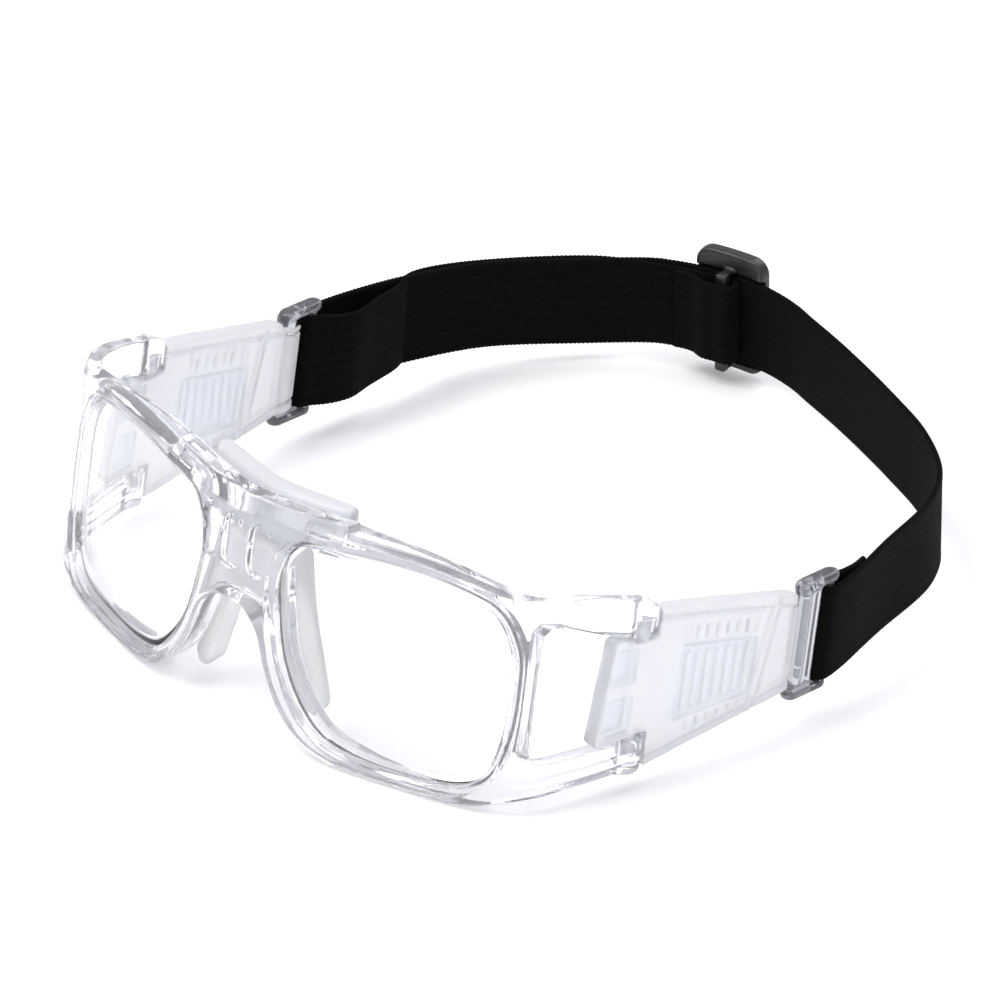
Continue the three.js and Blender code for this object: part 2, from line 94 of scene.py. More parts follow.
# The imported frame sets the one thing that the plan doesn't: how far it was moved to centre it.
ring_low, ring_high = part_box("strap_ring_left")
plan_low = RING_FRONT_Y - RING_THICK / 2 + LEAN * (RING_LOW - LEAN_LEVEL)
plan_high = RING_FRONT_Y + RING_PITCH + RING_THICK / 2 + LEAN * (RING_HIGH - LEAN_LEVEL)
SHIFT_Y = (ring_low.y + ring_high.y) / 2 / MM - (plan_low + plan_high) / 2


def smoothstep(a, b, t):
    t = np.clip((np.asarray(t, float) - a) / (b - a), 0, 1)
    return t * t * (3 - 2 * t)


def place(points):
    """Upright plan points in mm to the frame, in metres."""
    p = np.array(points, float)
    p[:, 1] += LEAN * (p[:, 2] - LEAN_LEVEL) + SHIFT_Y
    return p * MM


# --- curves ---------------------------------------------------------------------
def catmull(points, count, closed=False):
    """Centripetal curve through the points, at even spacing."""
    p = np.array(points, float)
    n = len(p)
    if closed:
        ext = np.vstack([p[-1], p, p[0], p[1]])
    else:
        ext = np.vstack([2 * p[0] - p[1], p, 2 * p[-1] - p[-2]])
    dense = []
    for i in range(n if closed else n - 1):
        a, b, c, d = ext[i:i + 4]
        t1 = np.linalg.norm(b - a) ** 0.5
        t2 = t1 + np.linalg.norm(c - b) ** 0.5
        t3 = t2 + np.linalg.norm(d - c) ** 0.5
        t = np.linspace(t1, t2, 24, endpoint=False)[:, None]
        ab = (t1 - t) / t1 * a + t / t1 * b
        bc = (t2 - t) / (t2 - t1) * b + (t - t1) / (t2 - t1) * c
        cd = (t3 - t) / (t3 - t2) * c + (t - t2) / (t3 - t2) * d
        abc = (t2 - t) / t2 * ab + t / t2 * bc
        bcd = (t3 - t) / (t3 - t1) * bc + (t - t1) / (t3 - t1) * cd
        dense.append((t2 - t) / (t2 - t1) * abc + (t - t1) / (t2 - t1) * bcd)
    dense = np.vstack(dense + [p[:1] if closed else p[-1:]])
    run = np.concatenate([[0], np.cumsum(np.linalg.norm(np.diff(dense, axis=0), axis=1))])
    at = np.linspace(0, run[-1], count + 1)
    out = np.stack([np.interp(at, run, dense[:, k]) for k in range(dense.shape[1])], 1)
    return out[:-1] if closed else out


def normals(line):
    """Unit normals to the left of an open plan line."""
    along = np.gradient(line, axis=0)
    along /= np.linalg.norm(along, axis=1)[:, None]
    return np.stack([-along[:, 1], along[:, 0]], 1)


def offset(line, by):
    return line + normals(line) * np.reshape(by, (-1, 1))


# --- distance fields --------------------------------------------------------------
def smax(a, b, k):
    """The larger of two fields, with its edge rounded over about k mm."""
    h = np.clip(0.5 + (a - b) / (2 * k), 0, 1)
    return b * (1 - h) + a * h + k * h * (1 - h)


def smin(a, b, k):
    return -smax(-a, -b, k)


def polygon_distance(points, u, v):
    """Signed distance to a closed outline, negative inside."""
    shape = np.broadcast(u, v).shape
    q = np.stack([np.broadcast_to(u, shape).ravel(), np.broadcast_to(v, shape).ravel()], 1)
    best = np.full(len(q), 1e9)
    inside = np.zeros(len(q), bool)
    p = np.array(points, float)
    for a, b in zip(p, np.roll(p, -1, axis=0)):
        e = b - a
        w = q - a
        t = np.clip((w @ e) / (e @ e), 0, 1)
        best = np.minimum(best, ((w - t[:, None] * e) ** 2).sum(1))
        crosses = ((a[1] > q[:, 1]) != (b[1] > q[:, 1]))
        if e[1] != 0:
            inside ^= crosses & (q[:, 0] < a[0] + (q[:, 1] - a[1]) * e[0] / e[1])
    return (np.sqrt(best) * np.where(inside, -1, 1)).reshape(shape)


def box_distance(offsets, halves, radius):
    """Rounded box: offsets from its middle and its half sizes, one per axis."""
    q = [np.abs(o) - h + radius for o, h in zip(offsets, halves)]
    outside = np.sqrt(sum(np.maximum(a, 0) ** 2 for a in q))
    inner = q[0]
    for a in q[1:]:
        inner = np.maximum(inner, a)
    return outside + np.minimum(inner, 0) - radius


def outside(v, low, high):
    """Distance past the ends of a span, negative between them."""
    return np.abs(v - (low + high) / 2) - (high - low) / 2


def stadium(u, v, half_length, radius):
    return np.hypot(u, v - np.clip(v, -half_length, half_length)) - radius


def surface(field, low, step):
    """Surface nets: a quad mesh of the field's zero level, then drawn onto it."""
    inside = field < 0
    counts = np.array(field.shape)
    corners = [(i, j, k) for i in (0, 1) for j in (0, 1) for k in (0, 1)]
    cells = tuple(counts - 1)

    def corner(a, c):
        return a[c[0]:c[0] + cells[0], c[1]:c[1] + cells[1], c[2]:c[2] + cells[2]]

    held = sum(corner(inside, c).astype(np.int8) for c in corners)
    active = np.argwhere((held > 0) & (held < 8))
    index = np.full(cells, -1, np.int64)
    index[tuple(active.T)] = np.arange(len(active))
    total = np.zeros((len(active), 3))
    count = np.zeros(len(active))
    for c0 in corners:
        for axis in range(3):
            if c0[axis]:
                continue
            c1 = list(c0)
            c1[axis] = 1
            f0 = field[tuple((active + c0).T)]
            f1 = field[tuple((active + c1).T)]
            hit = (f0 < 0) != (f1 < 0)
            t = np.where(hit, f0 / np.where(hit, f0 - f1, 1), 0)
            point = np.tile(np.array(c0, float), (len(active), 1))
            point[:, axis] += t
            total[hit] += point[hit]
            count += hit
    verts = active + total / count[:, None]
    quads = []
    for axis in range(3):
        a1, a2 = (axis + 1) % 3, (axis + 2) % 3
        lo = [slice(None)] * 3
        hi = [slice(None)] * 3
        lo[axis], hi[axis] = slice(0, -1), slice(1, None)
        s0, s1 = inside[tuple(lo)], inside[tuple(hi)]
        at = np.argwhere(s0 != s1)
        u, v = at[:, a1], at[:, a2]
        at = at[(u > 0) & (v > 0) & (u < counts[a1] - 1) & (v < counts[a2] - 1)]
        ring = []
        for d1, d2 in ((-1, -1), (0, -1), (0, 0), (-1, 0)):
            c = at.copy()
            c[:, a1] += d1
            c[:, a2] += d2
            ring.append(index[tuple(c.T)])
        ring = np.stack(ring, 1)
        outward = s0[tuple(at.T)]
        ring[~outward] = ring[~outward][:, ::-1]
        quads.append(ring)
    quads = np.vstack(quads)
    quads = quads[(quads >= 0).all(1)]
    slopes = np.gradient(field)

    def sample(a, p):
        base = np.clip(np.floor(p).astype(int), 0, counts - 2)
        f = p - base
        out = 0
        for c in corners:
            weight = np.prod(np.where(np.array(c), f, 1 - f), axis=1)
            out = out + weight * a[tuple((base + c).T)]
        return out

    for _ in range(3):
        value = sample(field, verts)
        slope = np.stack([sample(s, verts) for s in slopes], 1)
        length = np.maximum((slope ** 2).sum(1), 1e-9)
        move = -slope * (value / length)[:, None]
        size = np.linalg.norm(move, axis=1)
        move *= np.minimum(1, 0.5 / np.maximum(size, 1e-9))[:, None]
        verts = verts + move
    return np.array(low) + verts * step, quads


def grid(low, high, step):
    axes = [np.arange(a, b + step, step) for a, b in zip(low, high)]
    return axes[0][:, None, None], axes[1][None, :, None], axes[2][None, None, :]


# --- meshes -------------------------------------------------------------------------
def make_object(name, verts, faces, material, smooth=True):
    mesh = bpy.data.meshes.new(name)
    mesh.from_pydata(np.asarray(verts).tolist(), [], [list(map(int, f)) for f in faces])
    mesh.update()
    mesh.polygons.foreach_set("use_smooth", [smooth] * len(mesh.polygons))
    mesh.materials.append(material)
    obj = bpy.data.objects.new(name, mesh)
    bpy.context.scene.collection.objects.link(obj)
    return obj


def mirrored(verts, faces):
    return verts * [-1, 1, 1], [tuple(reversed(f)) for f in faces]


def for_side(verts, faces, side):
    """A shape modelled on the left, as it is or mirrored to the right."""
    points = place(verts)
    return mirrored(points, faces) if side < 0 else (points, faces)


def link_field(field, low, step):
    verts, quads = surface(field, low, step)
    return place(verts), quads


# --- materials ------------------------------------------------------------------------
def principled(name, color, roughness, **sockets):
    material = bpy.data.materials.new(name)
    material.use_nodes = True
    shader = material.node_tree.nodes["Principled BSDF"]
    shader.inputs["Base Color"].default_value = (*color, 1)
    shader.inputs["Roughness"].default_value = roughness
    for key, value in sockets.items():
        shader.inputs[key.replace("_", " ")].default_value = value
    return material, material.node_tree, shader


def add_node(tree, kind, **values):
    node = tree.nodes.new(kind)
    for key, value in values.items():
        if key in node.inputs:
            node.inputs[key].default_value = value
        else:
            setattr(node, key, value)
    return node


def bump(tree, shader, height, strength, distance):
    node = add_node(tree, "ShaderNodeBump")
    node.inputs["Strength"].default_value = strength
    node.inputs["Distance"].default_value = distance
    tree.links.new(height, node.inputs["Height"])
    tree.links.new(node.outputs["Normal"], shader.inputs["Normal"])
    return node


def noise(tree, scale, detail=3.0, space="Object"):
    where = add_node(tree, "ShaderNodeTexCoord")
    node = add_node(tree, "ShaderNodeTexNoise", Scale=scale, Detail=detail)
    tree.links.new(where.outputs[space], node.inputs["Vector"])
    return node


def span(tree, value, low, high, out_low, out_high):
    node = add_node(tree, "ShaderNodeMapRange")
    for key, number in zip(("From Min", "From Max", "To Min", "To Max"), (low, high, out_low, out_high)):
        node.inputs[key].default_value = number
    tree.links.new(value, node.inputs["Value"])
    return node.outputs["Result"]


def clear_plastic(name, color, roughness, wave, through=1.0, **sockets):
    """Moulded clear plastic: faint flow waves and a little handling haze."""
    material, tree, shader = principled(name, color, roughness, Transmission_Weight=through, **sockets)
    haze = noise(tree, 260.0, 4.0)
    tree.links.new(span(tree, haze.outputs["Fac"], 0.35, 0.75, roughness * 0.6, roughness * 1.8 + 0.01),
                   shader.inputs["Roughness"])
    flow = noise(tree, 90.0, 1.5)
    bump(tree, shader, flow.outputs["Fac"], wave, 0.0004)
    return material


FRAME_PLASTIC = clear_plastic("clear_polycarbonate", (0.945, 0.948, 0.972), 0.045, 0.05, 0.9, IOR=1.43)
LENS_PLASTIC = clear_plastic("lens_polycarbonate", (0.992, 0.995, 0.995), 0.0, 0.0, IOR=1.45)
# painted shade: a darker copy of the lens plastic for each lens's edge band, for the dark line round each
# opening
LENS_EDGE_SHADE = clear_plastic("lens_edge_painted_shade", (0.24, 0.245, 0.265), 0.3, 0.2, 0.6, IOR=1.45)
RING_PLASTIC = clear_plastic("ring_polycarbonate", (0.60, 0.61, 0.64), 0.05, 0.06, 0.88, IOR=1.5)
# painted shade: a darker copy of the ring plastic for the ring's top and bottom caps
RING_CAPS_SHADE = clear_plastic("ring_polycarbonate_caps_shade", (0.30, 0.305, 0.33), 0.05, 0.06, 0.8, IOR=1.5)


def soft_plastic(name, color, through, roughness, grain):
    """Frosted moulding: light passes through it blurred, and its skin has a fine spark-etched grain."""
    material, tree, shader = principled(name, color, roughness, Transmission_Weight=through, IOR=1.42)
    shader.inputs["Subsurface Weight"].default_value = 0.35
    shader.inputs["Subsurface Radius"].default_value = (0.004, 0.0042, 0.005)
    shader.inputs["Subsurface Scale"].default_value = 0.6
    cloud = noise(tree, 120.0, 2.0)
    tree.links.new(span(tree, cloud.outputs["Fac"], 0.3, 0.7, roughness * 0.85, roughness * 1.2),
                   shader.inputs["Roughness"])
    skin = noise(tree, 4200.0, 2.0)
    bump(tree, shader, skin.outputs["Fac"], grain, 0.00008)
    return material


ARM_PLASTIC = soft_plastic("frosted_tpu", (0.83, 0.833, 0.852), 0.55, 0.34, 0.25)
PANEL_PLASTIC = soft_plastic("frosted_tpu_thin", (0.80, 0.825, 0.88), 0.58, 0.44, 0.2)
SILICONE = soft_plastic("milky_silicone", (0.95, 0.957, 0.952), 0.55, 0.42, 0.2)
BROW_SILICONE = soft_plastic("brow_silicone", (0.79, 0.797, 0.815), 0.5, 0.42, 0.2)


def satin_black():
    material, tree, shader = principled("satin_black_plastic", (0.009, 0.0095, 0.011), 0.34)
    shader.inputs["Specular IOR Level"].default_value = 0.55
    scuff = noise(tree, 900.0, 5.0)
    tree.links.new(span(tree, scuff.outputs["Fac"], 0.3, 0.75, 0.27, 0.5), shader.inputs["Roughness"])
    grain = noise(tree, 5200.0, 2.0)
    bump(tree, shader, grain.outputs["Fac"], 0.2, 0.00006)
    return material


SLIDER_PLASTIC = satin_black()


WEFT_PITCH, WARP_PITCH, RIB_PITCH = 0.9, 0.8, 2.4     # of the weave, mm


def webbing_material():
    """Woven elastic. The map's u runs along the strap and v across it, both in mm."""
    material, tree, shader = principled("black_elastic_webbing", (0.003, 0.003, 0.0033), 0.93)
    shader.inputs["Specular IOR Level"].default_value = 0.06
    shader.inputs["Sheen Weight"].default_value = 0.015
    shader.inputs["Sheen Roughness"].default_value = 0.45
    shader.inputs["Sheen Tint"].default_value = (0.5, 0.5, 0.52, 1)
    where = add_node(tree, "ShaderNodeUVMap", uv_map="cloth")
    split = add_node(tree, "ShaderNodeSeparateXYZ")
    tree.links.new(where.outputs["UV"], split.inputs["Vector"])

    def wave(source, pitch, shift=0.0):
        turn = add_node(tree, "ShaderNodeMath", operation="MULTIPLY_ADD")
        turn.inputs[1].default_value = 2 * math.pi / pitch
        turn.inputs[2].default_value = shift
        tree.links.new(source, turn.inputs[0])
        sine = add_node(tree, "ShaderNodeMath", operation="SINE")
        tree.links.new(turn.outputs[0], sine.inputs[0])
        return sine.outputs[0]

    def combine(kind, a, b):
        node = add_node(tree, "ShaderNodeMath", operation=kind)
        for socket, value in zip(node.inputs, (a, b)):
            if isinstance(value, float):
                socket.default_value = value
            else:
                tree.links.new(value, socket)
        return node.outputs[0]

    picks = wave(split.outputs["X"], WEFT_PITCH)
    ends = wave(split.outputs["Y"], WARP_PITCH)
    weave = combine("MULTIPLY", picks, ends)
    ribs = combine("MULTIPLY", wave(split.outputs["Y"], RIB_PITCH), 0.45)
    cloth = combine("ADD", weave, ribs)
    fuzz = noise(tree, 3000.0, 4.0)
    height = combine("ADD", cloth, combine("MULTIPLY", fuzz.outputs["Fac"], 1.1))
    bump(tree, shader, height, 0.6, 0.00014)
    # painted shade: the webbing darker where its bump height sinks and lighter where it rises, the fuzz
    # noise included
    weave_shade = add_node(tree, "ShaderNodeMix", data_type="RGBA")
    weave_shade.inputs[6].default_value = (0.0012, 0.0012, 0.0013, 1)
    weave_shade.inputs[7].default_value = (0.0038, 0.0038, 0.004, 1)
    tree.links.new(span(tree, height, -0.9, 1.9, 0.0, 1.0), weave_shade.inputs[0])
    tree.links.new(weave_shade.outputs[2], shader.inputs["Base Color"])
    return material


WEBBING = webbing_material()
THREAD, _, _ = principled("black_thread", (0.016, 0.016, 0.017), 0.7, Sheen_Weight=0.2)


# --- plan of the front ------------------------------------------------------------------
HALF_WRAP = [(0, -82.4), (12, -80.8), (25, -77.7), (38, -74.2), (50, -70.8), (60, -67.6), (66.2, -64.4),
             (69.8, -60.2), (71.8, -54), (73.5, -46.5), (74.7, -38.6)]
wrap_line = catmull([(-12, -80.8)] + HALF_WRAP, 700)
wrap_line = wrap_line[wrap_line[:, 0] >= 0]
wrap_line = np.vstack([[-0.2, -82.4], [0, -82.4], wrap_line[wrap_line[:, 0] > 0.1]])


def wrap_depth(x, y):
    """How far a plan point lies behind the front's outer face; symmetric in x."""
    q = np.stack([np.abs(np.broadcast_to(x, np.broadcast(x, y).shape)).ravel(),
                  np.broadcast_to(y, np.broadcast(x, y).shape).ravel()], 1)
    best = np.full(len(q), 1e9)
    depth = np.zeros(len(q))
    thin = wrap_line[::3]
    for a, b in zip(thin[:-1], thin[1:]):
        e = b - a
        w = q - a
        t = np.clip((w @ e) / (e @ e), 0, 1)
        away = w - t[:, None] * e
        d2 = (away ** 2).sum(1)
        side = e[0] * w[:, 1] - e[1] * w[:, 0]
        nearer = d2 < best
        best = np.where(nearer, d2, best)
        depth = np.where(nearer, np.sqrt(d2) * np.sign(side), depth)
    return depth.reshape(np.broadcast(x, y).shape)


def wrap_y(x):
    front = wrap_line[: int(np.argmax(wrap_line[:, 0] > 67))]
    return np.interp(np.abs(x), front[:, 0], front[:, 1])


# outlines seen from the front, (x, z): a lens opening, the frame's underside, what is cut below and above
OPENING = catmull([(14.5, 42.2), (25, 43.4), (37, 44), (50, 43.5), (58.5, 41.2), (62.6, 34.7),
                   (63.4, 25.6), (62.7, 13.8), (60.2, 6.8), (54.5, 3.7), (43.4, 2.8), (31.4, 3.2),
                   (24.3, 5.2), (18.9, 10), (14.3, 17.7), (12, 25.8), (11.1, 34.8)], 120, closed=True)
UNDERSIDE = catmull([(0, 27.3), (4.5, 26.3), (8, 23), (10.7, 16.8), (15.4, 8.6), (22, 2.9), (29, 0.7)], 40)
OUTER_UNDERSIDE = catmull([(56, 0.6), (61, 1.6), (66, 3.2), (72, 4.4), (90, 4.4)], 20)
BELOW = np.vstack([[(-9, 27.6)], UNDERSIDE, [(36, 0), (50, 0)], OUTER_UNDERSIDE, [(90, -9), (-9, -9)]])
CROWN_EDGE = catmull([(30, 48.6), (46, 47.6), (58, 46.2), (66, 45.4), (90, 45.2)], 14)
CROWN = np.vstack([[(30, 60)], CROWN_EDGE, [(90, 60)]])
# outlines seen from the side, (y, z): what is cut above the fork, and the window between its two bands
PROFILE = [(-70, 60), (-70, 48.2), (-62, 46.4), (-56, 45.4), (-48, 43.2), (-42, 41.4), (-39, 40.2),
           (-36.4, 38.0), (-35, 37.4), (-35, 60)]
FORK = [(-61.6, 13), (-60.6, 11.8), (-59, LOWER_FORK_TOP), (-30, LOWER_FORK_TOP), (-30, UPPER_FORK_LOW),
        (-42, UPPER_FORK_LOW), (-50, 36), (-58, 39.6), (-60.6, 39.8), (-61.6, 38.4)]


def front_frame():
    step = 0.33
    low = (-79, -88, -2)
    x, y, z = grid(low, (79, -34, 53), step)
    ax = np.abs(x)
    depth = wrap_depth(x, y)
    wall = RIM_DEPTH + (SIDE_THICK - RIM_DEPTH) * smoothstep(-70, -61, y)
    opening = polygon_distance(OPENING, ax, z)
    body = smax(smax(-depth, depth - wall, 1.0), smax(z - FRAME_TOP, -z, 0.6), 1.2)
    body = smax(body, y - SIDE_BACK_Y, 0.6)
    body = smax(body, -polygon_distance(BELOW, ax, z), 1.0)
    body = smax(body, -polygon_distance(PROFILE, y, z), 1.1)
    body = smax(body, -polygon_distance(CROWN, ax, z), 1.0)
    fork = smax(polygon_distance(FORK, y, z), FORK_START - ax, 0.8)
    body = smax(body, -fork, 0.9)
    # the bridge's top is chamfered back to a narrow ledge
    ledge = smax(ax - LEDGE_REACH, outside(z, LEDGE_TOP - 3.8, LEDGE_TOP), 0.4)
    ledge = smax(smax(0.2 - depth, depth - LEDGE_BACK, 0.3), ledge, 0.35)
    body = smin(body, ledge, 0.3)
    chamfer = (z - LEDGE_TOP - (depth - LEDGE_EDGE) * LEDGE_SLOPE) / math.hypot(1, LEDGE_SLOPE)
    body = smax(body, smin(chamfer, LEDGE_REACH + 0.8 - ax, 0.5), 0.25)
    brow_line = smax(np.abs(chamfer + 3.4) - 0.25, smax(depth - 0.4, ax - LEDGE_REACH + 1, 0.2), 0.15)
    body = smax(body, -brow_line, 0.25)
    for low_z, high_z in EYE_SPANS:
        eye = smax(np.hypot(ax - HINGE_X, y - HINGE_Y) - EYE_R, outside(z, low_z, high_z), 0.8)
        eye = smax(eye, -polygon_distance(PROFILE, y, z), 1.0)
        body = smin(body, eye, 0.8)
    # the lip: a shallow step all round each opening, then the opening itself and its lens groove
    body = smax(body, -smax(opening - LIP_WIDE, depth - LIP_DEEP, 0.2), 0.25)
    body = smax(body, -opening, 0.35)
    groove = outside(depth, LENS_FRONT - GAP, LENS_FRONT + LENS_THICK + GAP)
    groove = smax(opening - LENS_BITE - GAP, groove, 0.2)
    body = smax(body, -groove, 0.2)
    for low_z, high_z in BORE_SPANS:
        bore = smax(np.hypot(ax - HINGE_X, y - HINGE_Y) - PIN_R - GAP, outside(z, low_z, high_z), 0.2)
        body = smax(body, -bore, 0.2)
    # three flutes down the bridge, each with a dimple over it in the ledge
    for flute in FLUTES:
        slot = smax(stadium(x - flute, z - FLUTE_LEVEL, FLUTE_HALF, FLUTE_R), depth - FLUTE_DEEP, 0.5)
        body = smax(body, -slot, 0.7)
        pin = smax(np.hypot(x - flute - 1.2, z - FLUTE_LEVEL - 3.8) - 0.55, depth - 2.0, 0.2)
        body = smax(body, -pin, 0.3)
        dimple = box_distance((x - flute, depth - MARK_DEPTH, z - LEDGE_TOP), (1.5, 0.9, 0.7), 0.35)
        body = smax(body, -dimple, 0.3)
    # sink marks at the ledge's ends, and the moulded lines along each fork
    sink = box_distance((ax - 19.5, chamfer, z - 47.6), (2.6, 0.6, 0.9), 0.25)
    body = smax(body, -sink, 0.3)
    sink_top = box_distance((ax - 20, depth - MARK_DEPTH, z - LEDGE_TOP), (2.4, 0.9, 0.6), 0.3)
    body = smax(body, -sink_top, 0.3)
    for line in SCORED_LINES:
        scored = smax(np.abs(z - line) - 0.28, smax(depth - 0.45, -62.5 - y, 0.2), 0.15)
        body = smax(body, -scored, 0.25)
    fork_line = smax(np.abs(z - 44.9 - (y + 64) * -0.12) - 0.3, smax(depth - 0.45, -66 - y, 0.2), 0.15)
    body = smax(body, -fork_line, 0.25)
    return link_field(body, low, step)


LENS_RIM = 4                 # which of a lens's bands of faces is its edge, the band given a darker plastic as painted shade


def lens(side):
    """One clear lens: rings from its rim to its middle, on the front's own curve."""
    outline = OPENING
    middle = outline.mean(0)
    along = np.roll(outline, -1, axis=0) - np.roll(outline, 1, axis=0)
    along /= np.linalg.norm(along, axis=1)[:, None]
    out = np.stack([along[:, 1], -along[:, 0]], 1)
    out *= np.sign((out * (outline - middle)).sum(1))[:, None]
    verts, faces = [], []
    n = len(outline)
    rims = [(LENS_FRONT, s) for s in (0.0, 0.34, 0.67, 0.9, 1.0)] + \
           [(LENS_FRONT + LENS_THICK, s) for s in (1.0, 0.9, 0.67, 0.34, 0.0)]
    edge = outline + out * LENS_BITE
    across = np.linspace(0, 66, 133)
    slope = np.gradient(wrap_y(across), across)
    for depth, share in rims:
        ring = middle + (edge - middle) * max(share, 0.02)
        lengthen = np.sqrt(1 + np.interp(ring[:, 0], across, slope) ** 2)
        verts.append(np.stack([ring[:, 0], wrap_y(ring[:, 0]) + depth * lengthen, ring[:, 1]], 1))
    for k in range(len(rims) - 1):
        for i in range(n):
            j = (i + 1) % n
            faces.append((k * n + i, k * n + j, (k + 1) * n + j, (k + 1) * n + i))
    faces.append(tuple(range(n))[::-1])
    faces.append(tuple(range((len(rims) - 1) * n, len(rims) * n)))
    return for_side(np.vstack(verts), faces, side)


# --- soft pads behind the front -------------------------------------------------------------
def brow_pad():
    step = 0.5
    low = (-24, -80, 36)
    x, y, z = grid(low, (24, -60, 51.5), step)
    depth = wrap_depth(x, y)
    thick = PAD_THICK - 1.0 * smoothstep(12, 21, np.abs(x))
    slab = np.abs(depth - RIM_DEPTH - GAP - PAD_THICK / 2) - thick / 2
    pad = smax(slab, np.abs(z - PAD_LEVEL) - PAD_HALF_HIGH, 1.4)
    pad = smax(pad, np.abs(x) - PAD_HALF_WIDE, 1.8)
    return link_field(pad, low, step)


def nose_pad():
    step = 0.5
    low = (-20, -86, 0)
    x, y, z = grid(low, (20, -62, 41), step)
    ax = np.abs(x)
    depth = wrap_depth(x, y)
    inner = catmull([(13.4, 3.6), (10.6, 12), (8.2, 20), (5, 25.4), (0, 27.2)], 30)
    outer = catmull([(0, 37.9), (6, 37.9), (9.2, 36.4), (10.6, 31), (11.8, 25.5), (13.8, 19),
                     (16.4, 11), (17.6, 5.6), (16, 3.4)], 36)
    saddle = polygon_distance(np.vstack([[(-6, 27.2), (-6, 37.9)], outer, inner]), ax, z)
    flare = saddle + 0.10 * (depth - 8)
    start = RIM_DEPTH + GAP
    pad = smax(flare, smax(start - depth, depth - start - 6.2, 1.0), 1.3)
    return link_field(pad, low, step)


# --- temple arms, rings -----------------------------------------------------------------------
# side outlines, (y, z)
PLATE = [(-49.6, 13.4), (-48.8, 12.3), (-38, 12.3), (-38, 5.4), (-37, 4.6), (-20, 6.6), (2, 9.2),
         (2, 28.6), (-14, 32.6), (-30, 36.6), (-37, 38.0), (-38, 37.2), (-38, 32.3), (-42, 32.9),
         (-46.4, 34.2), (-47.4, 33.6)]
PANEL = [(-30.5, 12.4), (-11.4, 12.0), (-10.8, 23.6), (-30.0, 28.0)]
PANEL_TOP, PANEL_TOP_Y, PANEL_SLOPE, PANEL_LOW = 28.0, -30, 0.23, 12.4
PANEL_DEEP, TONGUE_DEEP = 0.5, 0.45
RIBS, RIB_START, RIB_STEP, RIB_R, COMB_R = 7, -28.3, 2.6, 0.62, 0.3
NO_RIB = 9.0                 # a distance well past any rib
TONGUE_PANELS = [[(-47.4, 24.6), (-41.6, 24.2), (-41.6, 31.4), (-46.6, 32.2)],
                 [(-48.2, 14.4), (-41.6, 14.0), (-41.6, 21.4), (-47.8, 21.8)]]


def arm_low(y):
    return np.interp(y, [-38, -37, -20, 2], [4.8, 4.6, 6.6, 9.2])


def arm_high(y):
    return np.interp(y, [-37, -30, -14, 2], [38.0, 36.6, 32.6, 28.6])


